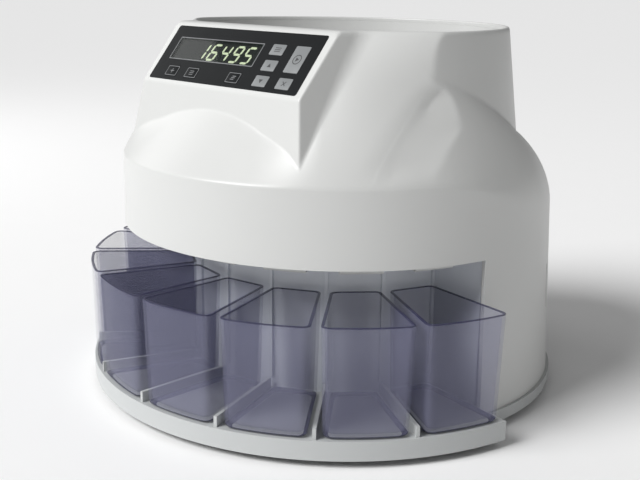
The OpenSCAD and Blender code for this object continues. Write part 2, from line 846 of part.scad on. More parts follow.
base_pan();
rubber_feet();
core_drum();
deck_plate();
chute_ring();
sizing_rail();
hopper_bowl();
coin_deflector();
sorting_disc();
disc_pad();
hub_cap();
drive_shaft();
bearing_block();
upper_bearing();
lower_bearing();
drive_pulley();
drive_belt();
motor_pulley();
motor_shaft();
motor();
motor_bracket();
main_board();
power_supply();
rear_panel();
mains_inlet();
switch_body();
power_rocker();
data_port();
top_housing();
panel_overlay();
lcd_window();
lcd_module();
display_board();
key_switches();
key_pad("menu_key", key_grey);  // menu_key
key_pad("up_key", key_grey);  // up_key
key_pad("down_key", key_grey);  // down_key
key_pad("clear_key", key_grey);  // clear_key
key_pad("start_key", key_grey);  // start_key
key_pad("add_key", part_black);  // add_key
key_pad("print_key", part_black);  // print_key
key_pad("batch_key", part_black);  // batch_key
coin_sensor();
housing_screws();
board_screws();
coin_cup(1);  // coin_cup_1
coin_cup(2);  // coin_cup_2
coin_cup(3);  // coin_cup_3
coin_cup(4);  // coin_cup_4
coin_cup(5);  // coin_cup_5
coin_cup(6);  // coin_cup_6
coin_cup(7);  // coin_cup_7
coin_cup(8);  // coin_cup_8
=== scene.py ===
"""Looks of the desktop coin sorting machine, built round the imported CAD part.

Lengths are in millimetres until make() scales them to metres. Angles round the body are in degrees and
count from the front (-Y) towards +X.
"""

import math

import bpy
import numpy as np
from mathutils import Matrix, Vector


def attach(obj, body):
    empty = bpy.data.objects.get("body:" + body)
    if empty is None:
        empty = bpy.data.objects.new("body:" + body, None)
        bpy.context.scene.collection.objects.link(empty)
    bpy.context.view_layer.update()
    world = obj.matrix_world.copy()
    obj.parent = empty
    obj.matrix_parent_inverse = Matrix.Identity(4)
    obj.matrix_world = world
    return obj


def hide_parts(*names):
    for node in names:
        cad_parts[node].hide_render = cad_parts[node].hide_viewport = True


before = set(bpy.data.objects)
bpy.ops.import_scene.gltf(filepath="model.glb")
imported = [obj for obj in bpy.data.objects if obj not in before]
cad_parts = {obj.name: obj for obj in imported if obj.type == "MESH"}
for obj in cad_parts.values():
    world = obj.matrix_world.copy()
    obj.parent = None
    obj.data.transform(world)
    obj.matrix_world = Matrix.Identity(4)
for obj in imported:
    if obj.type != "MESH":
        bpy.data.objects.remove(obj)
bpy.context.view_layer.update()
MM = 0.001

# ---- Driving sizes, the same as the CAD part's ----
SHELF_R, BODY_R, SKIRT_FWD = 177.5, 151.0, 2.5
RIM_Z, SHOULDER_Z, SKIRT_Z, BASE_Z, SHELF_Z = 250.0, 162.0, 114.0, 12.5, 17.5
WALL, BAY_HALF = 3.0, 81.0
HOPPER_R, HOPPER_FWD, HOPPER_DRAFT, MOUTH_FRONT = 120.5, 10.0, 0.121, 73.0
PANEL_W, PANEL_L, PANEL_TILT = 145.4, 43.5, math.radians(50.6)
PANEL_Y, PANEL_Z, BEZEL, FRONT_LEAN = -98.6, 230.15, 2.4, 0.15
SIDE_BASE, SIDE_Y, SIDE_Z = 154.2, 0.287, 0.208
CUPS, CUP_PITCH, CUP_INNER, CUP_RIM_Z, CUP_GAP, CUP_WALL = 8, 20.21, 105.8, 87.5, 5.6, 2.0
DISC_R = 88.0

# ---- Slope, strip and rounded side above the shoulder: lengths, and angles in degrees ----
SLOPE_LEAN, SLOPE_LEAN_FRONT = 0.71, 0.33
SLOPE_END = 18.0
SIDE_TUCK = 6.5
VALLEY_DIP = 1.0
VALLEY_FROM, VALLEY_RISE, VALLEY_BEND = 51.0, 0.169, 0.00287
STRIP_TURN, STRIP_TWIST = 58.5, 0.0066
STRIP_LATE_RISE, STRIP_LATE_TWIST, STRIP_TURN_MAX = 42.0, 1.2, 100.0
STRIP_TOP_Z, STRIP_LOW_Z = 222.0, 160.0
DOME_TOP_IN, DOME_BEND = 26.0, math.radians(51.4)

# ---- Openings of the housing ----
PANEL_RECESS_HALF, PANEL_RECESS_LOW, PANEL_RECESS_HIGH = 20.95, 23.7, 60.3
VENT_HALF, VENT_LOW, VENT_HIGH = 0.455, 60.6, 92.0
VENT_ROWS_AT, VENT_STEP, VENTS_A_SIDE = 52.0, 4.0, 7


# ---- Mesh helpers ----
def make(name, verts, faces, materials, body="machine", replaces=(), slot=None, sharp=40, indices=None):
    """A mesh piece from points in millimetres that rides on a body of the CAD part."""
    mesh = bpy.data.meshes.new(name)
    mesh.from_pydata((np.asarray(verts, float) * MM).tolist(), [], [list(map(int, f)) for f in faces])
    obj = bpy.data.objects.new(name, mesh)
    bpy.context.scene.collection.objects.link(obj)
    for m in materials:
        mesh.materials.append(m)
    if indices is not None:
        mesh.polygons.foreach_set("material_index", np.asarray(indices, np.int32))
    mesh.polygons.foreach_set("use_smooth", np.ones(len(mesh.polygons), bool))
    mesh.set_sharp_from_angle(angle=math.radians(sharp))
    mesh.validate()
    mesh.update()
    return settle(obj, body, replaces)


def settle(obj, body, replaces):
    """Puts a piece on its body and hides the CAD nodes that it stands for."""
    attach(obj, body)
    if replaces:
        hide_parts(*replaces)
    return obj


def bevel(obj, width, segments=2, angle=40):
    """Rounds the edges that are sharper than angle degrees."""
    m = obj.modifiers.new("bevel", "BEVEL")
    m.width = width * MM
    m.segments = segments
    m.limit_method = "ANGLE"
    m.angle_limit = math.radians(angle)
    m.harden_normals = True


class Builder:
    """Collects points and faces, with a material index for each face."""

    def __init__(self):
        self.verts, self.faces, self.index = [], [], []

    def add(self, verts, faces, index=0):
        start = len(self.verts)
        self.verts.extend([tuple(v) for v in verts])
        self.faces.extend([tuple(start + i for i in f) for f in faces])
        self.index.extend([index] * len(faces))

    def loft(self, rings, index=0, caps=(True, True), closed=True):
        """Joins rings of equal length, each a list of points that runs anticlockwise seen from the end."""
        n = len(rings[0])
        verts = [p for ring in rings for p in ring]
        faces = []
        for k in range(len(rings) - 1):
            for i in range(n if closed else n - 1):
                j = (i + 1) % n
                faces.append((k * n + i, k * n + j, (k + 1) * n + j, (k + 1) * n + i))
        if caps[0]:
            faces.append(tuple(reversed(range(n))))
        if caps[1]:
            faces.append(tuple((len(rings) - 1) * n + i for i in range(n)))
        self.add(verts, faces, index)

    def piece(self, name, materials, **where):
        return make(name, self.verts, self.faces, materials, indices=self.index, **where)


# ---- Materials ----
def finish(name, colour, rough=0.4, bump=0.05, grain=900.0, metal=0.0, mottle=0.03, wear=0.06, **shader):
    """A moulded, painted or turned surface: fine grain in the bump, and slow drifts of tone and roughness."""
    mat = bpy.data.materials.new(name)
    mat.use_nodes = True
    nodes, links = mat.node_tree.nodes, mat.node_tree.links
    bsdf = nodes["Principled BSDF"]
    bsdf.inputs["Metallic"].default_value = metal
    for socket, value in shader.items():
        bsdf.inputs[socket.replace("_", " ")].default_value = value
    place = nodes.new("ShaderNodeTexCoord")

    def noise(scale, detail):
        n = nodes.new("ShaderNodeTexNoise")
        n.inputs["Scale"].default_value = scale
        n.inputs["Detail"].default_value = detail
        links.new(place.outputs["Object"], n.inputs["Vector"])
        return n.outputs["Fac"]

    def spread(value, low, high):
        r = nodes.new("ShaderNodeMapRange")
        r.inputs["From Min"].default_value = 0.3
        r.inputs["From Max"].default_value = 0.7
        r.inputs["To Min"].default_value = low
        r.inputs["To Max"].default_value = high
        links.new(value, r.inputs["Value"])
        return r.outputs["Result"]

    slow = noise(22.0, 3.0)
    mix = nodes.new("ShaderNodeMix")
    mix.data_type = "RGBA"
    mix.inputs["A"].default_value = [c * (1 - mottle) for c in colour[:3]] + [1]
    mix.inputs["B"].default_value = [min(1, c * (1 + mottle)) for c in colour[:3]] + [1]
    links.new(slow, mix.inputs["Factor"])
    links.new(mix.outputs["Result"], bsdf.inputs["Base Color"])
    links.new(spread(noise(60.0, 4.0), rough - wear / 2, rough + wear / 2), bsdf.inputs["Roughness"])
    height = nodes.new("ShaderNodeBump")
    height.inputs["Strength"].default_value = bump
    height.inputs["Distance"].default_value = 0.0002
    links.new(noise(grain, 2.0), height.inputs["Height"])
    links.new(height.outputs["Normal"], bsdf.inputs["Normal"])
    return mat


def turned(name, colour, rough=0.3):
    """Turned metal: fine rings round the Z axis in the bump."""
    mat = finish(name, colour, rough, metal=1.0, mottle=0.05, wear=0.1)
    nodes, links = mat.node_tree.nodes, mat.node_tree.links
    rings = nodes.new("ShaderNodeTexWave")
    rings.wave_type = "RINGS"
    rings.rings_direction = "Z"
    rings.inputs["Scale"].default_value = 260.0
    rings.inputs["Distortion"].default_value = 0.4
    place = nodes.new("ShaderNodeTexCoord")
    links.new(place.outputs["Object"], rings.inputs["Vector"])
    height = next(n for n in nodes if n.type == "BUMP")
    links.new(rings.outputs["Fac"], height.inputs["Height"])
    return mat


def lit(name, colour, power):
    """A surface that glows a little in its own colour."""
    mat = finish(name, colour, 0.5)
    bsdf = mat.node_tree.nodes["Principled BSDF"]
    bsdf.inputs["Emission Color"].default_value = [*colour, 1]
    bsdf.inputs["Emission Strength"].default_value = power
    return mat


WHITE = finish("white_plastic", (0.61, 0.615, 0.605), 0.36, bump=0.035, mottle=0.008, wear=0.05)
GREY = finish("grey_plastic", (0.50, 0.515, 0.515), 0.42, bump=0.08, mottle=0.012)
DRUM = finish("drum_plastic", (0.74, 0.77, 0.82), 0.38, bump=0.04, mottle=0.012)
SHEET = finish("keypad_sheet", (0.006, 0.007, 0.008), 0.45, bump=0.03, grain=1400.0, Specular_IOR_Level=0.10)
KEY = finish("key_grey", (0.21, 0.22, 0.225), 0.42, bump=0.05, grain=1400.0)
MARK = finish("key_mark", (0.03, 0.03, 0.032), 0.5)
OUTLINE = finish("key_outline", (0.15, 0.155, 0.16), 0.5)
BLACK = finish("black_plastic", (0.022, 0.022, 0.024), 0.45, bump=0.12)
RUBBER = finish("rubber", (0.025, 0.025, 0.025), 0.75, bump=0.25, grain=700.0)
BOARD = finish("circuit_board", (0.03, 0.14, 0.06), 0.35, bump=0.15, grain=300.0, mottle=0.15)
STEEL = finish("sheet_steel", (0.58, 0.58, 0.59), 0.33, metal=1.0, mottle=0.05, wear=0.12)
ALU = finish("cast_aluminium", (0.62, 0.63, 0.64), 0.42, metal=1.0, bump=0.2, grain=500.0, wear=0.12)
TURNED = turned("turned_steel", (0.66, 0.66, 0.67), 0.28)
CUP = finish("cup_plastic", (0.27, 0.275, 0.40), 0.10, bump=0.01, grain=120.0, mottle=0.04, Alpha=0.20)
# Darker, less clear copy of the cup plastic: painted shade for the dark look of tinted cup walls seen
# edge-on, at the rims and the floor edges.
CUP_EDGE_SHADE = finish("cup_edge_painted_shade", (0.035, 0.035, 0.09), 0.14, bump=0.01, grain=120.0, Alpha=0.85)
GLASS = finish("display_window", (0.010, 0.014, 0.013), 0.05, bump=0.0, wear=0.0, Alpha=0.35)
DISPLAY = finish("display_dark", (0.008, 0.014, 0.010), 0.3, bump=0.02)
GHOST = finish("display_segment_off", (0.014, 0.024, 0.017), 0.3)
DIGIT = lit("display_segment_lit", (0.78, 0.90, 0.60), 1.3)


# ---- Shape of the housing ----
def ease(a, b, x):
    """Smooth step from 0 at a to 1 at b."""
    t = np.clip((x - a) / (b - a), 0, 1)
    return t * t * (3 - 2 * t)


def cosd(f):
    return np.cos(np.radians(f))


def sind(f):
    return np.sin(np.radians(f))


def reach(f, c, r):
    """Distance from the axis, in direction f, to a circle of radius r whose centre is at y = c."""
    return -c * cosd(f) + np.sqrt(np.maximum(r * r - (c * sind(f)) ** 2, 1.0))


def soft_min(a, b, k):
    """The smaller of two distances, with a fillet where they cross."""
    h = np.clip(0.5 + 0.5 * (b - a) / k, 0, 1)
    return b + (a - b) * h - k * h * (1 - h)


def soft_max(a, b, k):
    """The larger of two distances, with a fillet where they cross."""
    return -soft_min(-a, -b, k)


def skirt_at(f, z):
    """Side wall below the shoulder, which widens a little towards its foot and towards the back."""
    return reach(f, -SKIRT_FWD, BODY_R) + (0.015 + 0.035 * (1 - cosd(f)) / 2) * np.maximum(0, 132 - z)


def slope_at(f, z):
    """Slope from the shoulder up to the mouth, which dips a little towards the strip beside it."""
    rise = z - SHOULDER_Z
    lean = SLOPE_LEAN + SLOPE_LEAN_FRONT * (1 - ease(22, 40, f))
    below = np.where(rise < 0, 1 - ease(60, 90, f), 1)
    slope = reach(f, lean * rise * below - SKIRT_FWD, BODY_R) + SLOPE_END * ease(78, 98, f)
    tuck = SIDE_TUCK * ease(44, 74, f) * ease(166, 214, z) * (1 - ease(214, 248, z))
    near = np.clip(1 - (valley_at(z) - f) / 6, 0, 1.6)
    dip = VALLEY_DIP * near ** 2 * ease(162, 178, z) * (1 - ease(212, 226, z))
    return slope - tuck - dip


def valley_at(z):
    """Direction of the line where the slope meets the strip."""
    rise = np.maximum(z - SHOULDER_Z, 0)
    return VALLEY_FROM + VALLEY_RISE * rise + VALLEY_BEND * rise * rise


def strip_at(f, z):
    """Twisted strip between the slope and the rounded side, which fades out beyond its ends."""
    start = valley_at(z)
    rise = np.maximum(z - SHOULDER_Z, 0)
    late = np.maximum(rise - STRIP_LATE_RISE, 0)
    turn = np.minimum(STRIP_TURN + STRIP_TWIST * rise * rise + STRIP_LATE_TWIST * late, STRIP_TURN_MAX)
    strip = slope_at(start, z) * cosd(start - turn) / np.maximum(cosd(f - turn), 0.2)
    beyond_start = 3 * np.maximum(0, start - f)
    beyond_top = 2 * np.maximum(0, z - STRIP_TOP_Z)
    beyond_foot = 3 * np.maximum(0, STRIP_LOW_Z - z)
    strip = strip - beyond_start - beyond_top - beyond_foot
    return np.where((f > start - 12) & (f < 125), strip, 0)


def ramp_at(f, z):
    """Slope and strip together, with a narrow fillet along the valley between them."""
    return soft_max(slope_at(f, z), strip_at(f, z), 0.5)


def hopper_at(f, z):
    """Outside of the hopper's wall, which widens downwards."""
    return reach(f, -HOPPER_FWD, HOPPER_R + (RIM_Z - z) * HOPPER_DRAFT)


def dome_at(f, z):
    """Rounded side above the shoulder: straight next to the strip, and an arc further back."""
    foot = SHOULDER_Z - 36 * ease(66, 125, f)
    top = 232 - 54 * ease(52, 130, f)
    t = np.clip((z - foot) / (top - foot), 0, 1.2)
    arc = (1 - np.cos(np.arcsin(t * math.sin(DOME_BEND)))) / (1 - math.cos(DOME_BEND))
    rounded = ease(62, 112, f)
    return skirt_at(f, np.minimum(z, foot)) - DOME_TOP_IN * ((1 - rounded) * t + rounded * arc)


def console_at(f, z):
    """The wedge that carries the keypad, and whether its side is what is met in direction f."""
    half = PANEL_L / 2 + BEZEL
    low_y = PANEL_Y - half * math.cos(PANEL_TILT)
    low_z = PANEL_Z - half * math.sin(PANEL_TILT)
    ahead = np.maximum(cosd(f), 0.2)
    front = (-low_y + FRONT_LEAN * (low_z - z)) / ahead
    slope = (-PANEL_Y - (z - PANEL_Z) / math.tan(PANEL_TILT)) / ahead
    side = (SIDE_BASE - SIDE_Z * z) / (sind(f) + SIDE_Y * cosd(f))
    face = soft_min(front, slope, 1.3)
    return soft_min(face, side, 1.6), side < face


def outer_at(f, z):
    """Outer radius of the housing in direction f at height z, with its fillets."""
    f = np.abs(f)
    side = soft_min(ramp_at(f, z), dome_at(f, z), 0.5)
    behind = soft_min(slope_at(f, z), hopper_at(f, z), 0.9)
    body = soft_max(side, behind, 0.05 + 0.75 * ease(62, 76, f))
    console, beside = console_at(f, z)
    console = np.where((f < 75) & (z > 150), console, 0)
    fillet = np.where(beside, 1.2 + 3.5 * ease(180, 250, z), 0.8)
    return soft_min(skirt_at(f, z), soft_max(body, console, fillet), 1.5)


def mouth_at(f, inset=0.0):
    """Radius of the hopper's mouth, drawn in by inset."""
    f = np.abs(f)
    hopper = reach(f, -HOPPER_FWD, HOPPER_R - WALL - inset)
    ramp = reach(f, SLOPE_LEAN * (RIM_Z - SHOULDER_Z) - SKIRT_FWD, BODY_R - WALL - inset)
    straight = (MOUTH_FRONT - inset) / np.maximum(cosd(f), 0.05)
    return soft_min(soft_min(hopper, ramp, 6.0), straight, 4.0)


def polar(f, r, z):
    """Points in the row frame from direction, radius and height."""
    f, r, z = np.broadcast_arrays(f, r, z)
    return np.stack([r * sind(f), -r * cosd(f), z], axis=-1)


def steps(*spans):
    """Values from each (start, stop, step) span in turn."""
    return np.unique(np.round(np.concatenate([np.arange(a, b + s / 4, s) for a, b, s in spans]), 3))


def housing_openings():
    """Openings of the housing's side wall, each from angle to angle and from height to height."""
    found = [(-BAY_HALF, BAY_HALF, BASE_Z, SKIRT_Z)]
    found.append((180 - PANEL_RECESS_HALF, 180 + PANEL_RECESS_HALF, PANEL_RECESS_LOW, PANEL_RECESS_HIGH))
    for side in (-1, 1):
        for k in range(VENTS_A_SIDE):
            at = 180 + side * VENT_ROWS_AT + (k - VENTS_A_SIDE // 2) * VENT_STEP
            found.append((at - VENT_HALF, at + VENT_HALF, VENT_LOW, VENT_HIGH))
    return found


def housing_columns(openings):
    """Directions of the grid's columns, finer at the console's edges, with one on every opening's edge."""
    half = steps((0, 26, 0.5), (26, 44, 0.2), (44, 60, 0.4), (60, 81, 0.7), (81, 180, 1.1))
    edges = np.array([opening[i] for opening in openings for i in (0, 1)])
    plain = np.concatenate([half, 360 - half])
    away = np.min(np.abs(plain[:, None] - np.mod(edges, 360)[None, :]), axis=1)
    columns = np.unique(np.round(np.mod(np.concatenate([plain[away > 0.3], edges]), 360), 3))
    return columns[columns < 360]


def housing_levels(openings):
    """Heights of the grid's rows, finer at the shoulder and at the strip's top."""
    levels = steps((14.5, 23, 4), (28, 56, 7), (64, 90, 6.5), (96, 112, 4), (116, 155, 3), (156, 169, 0.5),
                   (170, 206, 1.0), (206.5, 217, 0.5), (218, 247, 1.0))
    return np.unique(np.concatenate([levels, [opening[i] for opening in openings for i in (2, 3)]]))


def cells_kept(openings, columns, levels):
    """Marks the grid's cells that lie outside every opening."""
    mid_f = np.mod(columns + np.mod(np.roll(columns, -1) - columns, 360) / 2, 360)
    mid_z = (levels[:-1] + levels[1:]) / 2
    kept = np.ones((len(columns), len(levels) - 1), bool)
    for start, stop, low, high in openings:
        inside_f = np.mod(mid_f - start, 360) < stop - start
        inside_z = (mid_z > low) & (mid_z < high)
        kept &= ~(inside_f[:, None] & inside_z[None, :])
    return kept


def housing():
    """Outer and inner skins on one grid, joined round every opening, at the foot and over the rim."""
    openings = housing_openings()
    columns, levels = housing_columns(openings), housing_levels(openings)
    signed = np.where(columns > 180, columns - 360, columns)
    n, m = len(columns), len(levels)
    outer_r = outer_at(signed[:, None], levels[None, :])
    mouth = mouth_at(signed)
    below_rim = outer_r - WALL
    inner_r = np.where(levels[None, :] > RIM_Z - 5, np.minimum(mouth[:, None], below_rim), below_rim)
    rim_rows = rim_profile(signed, outer_r[:, -1], levels[-1], mouth)
    outer = polar(signed[:, None], outer_r, levels[None, :]).reshape(-1, 3)
    inner = polar(signed[:, None], inner_r, levels[None, :]).reshape(-1, 3)
    rim = np.stack(rim_rows, axis=1).reshape(-1, 3)
    rim_at, inner_at, rows = n * m, n * m + len(rim), len(rim_rows)
    kept = cells_kept(openings, columns, levels)
    faces = []
    for i in range(n):
        j = (i + 1) % n
        for k in range(m - 1):
            if not kept[i, k]:
                continue
            a, b, c, d = i * m + k, j * m + k, j * m + k + 1, i * m + k + 1
            faces.append((a, b, c, d))
            faces.append((inner_at + d, inner_at + c, inner_at + b, inner_at + a))
            if k == 0 or not kept[i, k - 1]:
                faces.append((b, a, inner_at + a, inner_at + b))
            if k < m - 2 and not kept[i, k + 1]:
                faces.append((d, c, inner_at + c, inner_at + d))
            if not kept[j, k]:
                faces.append((c, b, inner_at + b, inner_at + c))
            if not kept[i - 1, k]:
                faces.append((a, d, inner_at + d, inner_at + a))
        line_i = [i * m + m - 1, *(rim_at + i * rows + np.arange(rows)), inner_at + i * m + m - 1]
        line_j = [j * m + m - 1, *(rim_at + j * rows + np.arange(rows)), inner_at + j * m + m - 1]
        for k in range(rows + 1):
            faces.append((line_i[k], line_j[k], line_j[k + 1], line_i[k + 1]))
    points, faces = drop_loose(np.concatenate([outer, rim, inner]), faces)
    obj = make("housing", points, faces, [WHITE], replaces=["top_housing"], slot="housing", sharp=50)
    cut_window(obj)
    bevel(obj, 0.5, 2, 60)


def rim_profile(f, outer_low, low_z, mouth):
    """Rows of points from the outer wall over the rounded rim to the mouth's edge."""
    corner = outer_at(f, RIM_Z)
    outer_in = np.minimum(3.0, (corner - mouth) * 0.45)
    inner_in = np.minimum(1.2, (corner - mouth) * 0.3)
    rows = []
    for t in (0.25, 0.5, 0.75, 1.0):
        r = (1 - t) ** 2 * outer_low + 2 * t * (1 - t) * corner + t * t * (corner - outer_in)
        z = (1 - t) ** 2 * low_z + 2 * t * (1 - t) * RIM_Z + t * t * RIM_Z
        rows.append(polar(f, r, z))
    rows.append(polar(f, (corner - outer_in + mouth + inner_in) / 2, RIM_Z))
    for t in (0.0, 0.33, 0.67, 1.0):
        r = (1 - t) ** 2 * (mouth + inner_in) + 2 * t * (1 - t) * mouth + t * t * mouth
        z = RIM_Z - t * t * 1.2
        rows.append(polar(f, r, z))
    return rows


def drop_loose(points, faces):
    """Leaves out the points that no face uses."""
    used = np.unique(np.concatenate([np.asarray(f) for f in faces]))
    new = np.full(len(points), -1)
    new[used] = np.arange(len(used))
    return points[used], [tuple(new[list(f)]) for f in faces]


def on_panel(points):
    """Points given as (across, up the slope, outwards) put in the row frame."""
    place = Matrix.Translation((0, PANEL_Y, PANEL_Z)) @ Matrix.Rotation(PANEL_TILT, 4, "X")
    return [tuple(place @ Vector(p)) for p in points]


def box_mesh(x, y, z):
    """Corners and faces of a box between pairs of x, y and z."""
    verts = [(a, b, c) for c in z for b in y for a in x]
    return verts, [(0, 2, 3, 1), (4, 5, 7, 6), (0, 1, 5, 4), (2, 6, 7, 3), (0, 4, 6, 2), (1, 3, 7, 5)]


def cut_window(obj):
    """The opening under the keypad sheet, for the keys and the display."""
    verts, faces = box_mesh((-66.5, 66.5), (-19.25, 19.25), (-12, 6))
    mesh = bpy.data.meshes.new("window_cutter")
    mesh.from_pydata([tuple(c * MM for c in v) for v in on_panel(verts)], [], faces)
    cutter = bpy.data.objects.new("window_cutter", mesh)
    bpy.context.scene.collection.objects.link(cutter)
    cut = obj.modifiers.new("window", "BOOLEAN")
    cut.operation = "DIFFERENCE"
    cut.object = cutter
    cut.solver = "EXACT"
    bpy.context.view_layer.update()
    done = bpy.data.meshes.new_from_object(obj.evaluated_get(bpy.context.evaluated_depsgraph_get()))
    obj.modifiers.remove(cut)
    obj.data = done
    bpy.data.objects.remove(cutter)


# ---- Keypad: places on the panel as (across, up the slope, width, height) ----
LCD = (-20.9, 3.6, 85.5, 18.0)
KEYS = {
    "menu": (36.2, 8.8, 12, 8),
    "up": (36.8, -3.1, 12, 8),
    "down": (36.9, -14.7, 12, 8),
    "clear": (57.9, -14.7, 12, 8),
    "start": (57.4, 3.0, 12.6, 19.5),
    "add": (-52.0, -14.7, 12, 8),
    "print": (-31.3, -14.7, 12, 8),
    "batch": (11.0, -14.7, 12, 8),
}
GREY_KEYS = ("menu", "up", "down", "clear", "start")
SHEET_TOP, KEY_TOP, KEY_LOW, STEM_LOW = 0.15, 0.28, -1.4, -2.35
PRINT_LOW, PRINT_TOP = KEY_TOP - 0.05, KEY_TOP + 0.02


def rounded(cx, cy, w, h, r, n=5):
    """Points of a rectangle with rounded corners, anticlockwise."""
    out = []
    for sx, sy, start in ((1, 1, 0), (-1, 1, 90), (-1, -1, 180), (1, -1, 270)):
        for i in range(n + 1):
            a = math.radians(start + 90 * i / n)
            out.append((cx + sx * (w / 2 - r) + r * math.cos(a), cy + sy * (h / 2 - r) + r * math.sin(a)))
    return out


def circle(cx, cy, r, n=32):
    """Points of a circle, anticlockwise."""
    angles = [2 * math.pi * i / n for i in range(n)]
    return [(cx + r * math.cos(a), cy + r * math.sin(a)) for a in angles]


def prism(build, outline, low, high, index=0, edge=0.0):
    """A flat shape on the panel with a small rounded top edge."""
    cx = sum(p[0] for p in outline) / len(outline)
    cy = sum(p[1] for p in outline) / len(outline)

    def ring(z, inset):
        out = []
        for x, y in outline:
            d = math.hypot(x - cx, y - cy) or 1
            out.append((x - (x - cx) / d * inset, y - (y - cy) / d * inset, z))
        return on_panel(out)

    rings = [ring(low, 0), ring(high - edge, 0)]
    if edge:
        rings += [ring(high - edge * 0.3, edge * 0.3), ring(high, edge)]
    build.loft(rings, index)


def frame_ring(build, outline_of, width, low, high, index=0):
    """A thin closed line: the area between an outline and the same one drawn in by width."""
    big, small = outline_of(0), outline_of(width)
    n = len(big)
    rings = [on_panel([(x, y, low) for x, y in big]), on_panel([(x, y, high) for x, y in big]),
             on_panel([(x, y, high) for x, y in small]), on_panel([(x, y, low) for x, y in small])]
    verts = [p for r in rings for p in r]
    faces = []
    for k in range(4):
        for i in range(n):
            j = (i + 1) % n
            a, b = k * n, ((k + 1) % 4) * n
            faces.append((a + i, a + j, b + j, b + i))
    build.add(verts, faces, index)


def sheet_with_holes():
    """The keypad sheet, cut out for the display and the keys."""
    curve = bpy.data.curves.new("keypad_sheet", "CURVE")
    curve.dimensions = "2D"
    curve.fill_mode = "BOTH"
    half_thick, round_edge = 0.38, 0.07
    outlines = [rounded(0, 0, PANEL_W, PANEL_L, 1.6)]
    outlines.append(rounded(LCD[0], LCD[1], LCD[2] + 0.3, LCD[3] + 0.3, 0.7))
    outlines += [rounded(cx, cy, w + 0.5, h + 0.5, 0.9) for cx, cy, w, h in KEYS.values()]
    for points in outlines:
        s = curve.splines.new("POLY")
        s.points.add(len(points) - 1)
        for p, (x, y) in zip(s.points, points):
            p.co = (x * MM, y * MM, 0, 1)
        s.use_cyclic_u = True
    curve.extrude = half_thick * MM
    curve.bevel_depth = round_edge * MM
    curve.bevel_resolution = 1
    obj = bpy.data.objects.new("keypad_sheet_curve", curve)
    bpy.context.scene.collection.objects.link(obj)
    bpy.context.view_layer.update()
    mesh = bpy.data.meshes.new_from_object(obj.evaluated_get(bpy.context.evaluated_depsgraph_get()))
    bpy.data.objects.remove(obj)
    lift = Matrix.Translation((0, 0, (SHEET_TOP - half_thick - round_edge) * MM))
    place = Matrix.Translation((0, PANEL_Y * MM, PANEL_Z * MM)) @ Matrix.Rotation(PANEL_TILT, 4, "X")
    mesh.transform(place @ lift)
    mesh.materials.clear()
    mesh.materials.append(SHEET)
    sheet = bpy.data.objects.new("keypad_sheet", mesh)
    bpy.context.scene.collection.objects.link(sheet)
    mesh.set_sharp_from_angle(angle=math.radians(30))
    settle(sheet, "machine", ["panel_overlay"])


def bar(x0, y0, x1, y1, w):
    """A straight line of width w as four corners."""
    d = math.hypot(x1 - x0, y1 - y0)
    nx, ny = -(y1 - y0) / d * w / 2, (x1 - x0) / d * w / 2
    return [(x0 + nx, y0 + ny), (x0 - nx, y0 - ny), (x1 - nx, y1 - ny), (x1 + nx, y1 + ny)]


def three_bars(cx, cy, half_width, spacing, width, shift=0.0):
    """Three level lines above one another, each moved sideways by shift."""
    lines = []
    for i in range(3):
        y = cy + (i - 1) * spacing
        lines.append(bar(cx - half_width + i * shift, y, cx + half_width + i * shift, y, width))
    return lines


def symbol(name, cx, cy):
    """Outlines of the plain sign on each key."""
    arrow = [(cx - 1.7, cy - 1.2), (cx + 1.7, cy - 1.2), (cx, cy + 1.5)]
    if name == "up":
        return [arrow]
    if name == "down":
        return [[(2 * cx - x, 2 * cy - y) for x, y in arrow]]
    if name == "start":
        return [[(cx - 1.1, cy - 1.5), (cx + 1.6, cy), (cx - 1.1, cy + 1.5)]]
    if name == "clear":
        return [bar(cx - 1.5, cy - 1.5, cx + 1.5, cy + 1.5, 0.6),
                bar(cx - 1.5, cy + 1.5, cx - 0.25, cy + 0.25, 0.6),
                bar(cx + 0.25, cy - 0.25, cx + 1.5, cy - 1.5, 0.6)]
    if name == "add":
        return [bar(cx - 1.8, cy, cx + 1.8, cy, 0.6),
                bar(cx, cy + 0.3, cx, cy + 1.8, 0.6),
                bar(cx, cy - 1.8, cx, cy - 0.3, 0.6)]
    if name == "batch":
        return three_bars(cx - 0.5, cy, 1.7, 1.2, 0.6, shift=0.5)
    return three_bars(cx, cy, 2.6 if name == "menu" else 2.0, 1.3, 0.5)


def keys():
    """Key caps with their stems: grey with a dark sign, or black with a grey outline and sign."""
    for name, (cx, cy, w, h) in KEYS.items():
        build = Builder()
        prism(build, rounded(cx, cy, w, h, 0.8), KEY_LOW, KEY_TOP, edge=0.18)
        if name in GREY_KEYS:
            materials, slot = [KEY, MARK], "key"
        else:
            materials, slot = [SHEET, OUTLINE], "sheet"

            def border(inset):
                return rounded(cx, cy, w - 0.5 - 2 * inset, h - 0.5 - 2 * inset, 0.7)

            frame_ring(build, border, 0.45, PRINT_LOW, PRINT_TOP, 1)
        for outline in symbol(name, cx, cy):
            prism(build, outline, PRINT_LOW, PRINT_TOP, 1)
        if name == "start":
            frame_ring(build, lambda inset: circle(cx, cy, 3.5 - inset), 0.6, PRINT_LOW, PRINT_TOP, 1)
        stem = circle(cx, cy, 1.4)
        build.loft([on_panel([(x, y, z) for x, y in stem]) for z in (STEM_LOW, -1.3)])
        build.piece(name + "_key_cap", materials, body=name + "_button", replaces=[name + "_key"],
                    slot=slot, sharp=35)


DIGITS = "16495"
SEGMENTS = {"1": "bc", "6": "afgedc", "4": "fgbc", "9": "abgfcd", "5": "afgcd"}
DIGIT_W, DIGIT_H, SEGMENT_W = 6.6, 11.8, 1.6
DIGIT_PITCH, FIRST_DIGIT, DIGIT_SLANT = 11.4, -34.2, 0.17


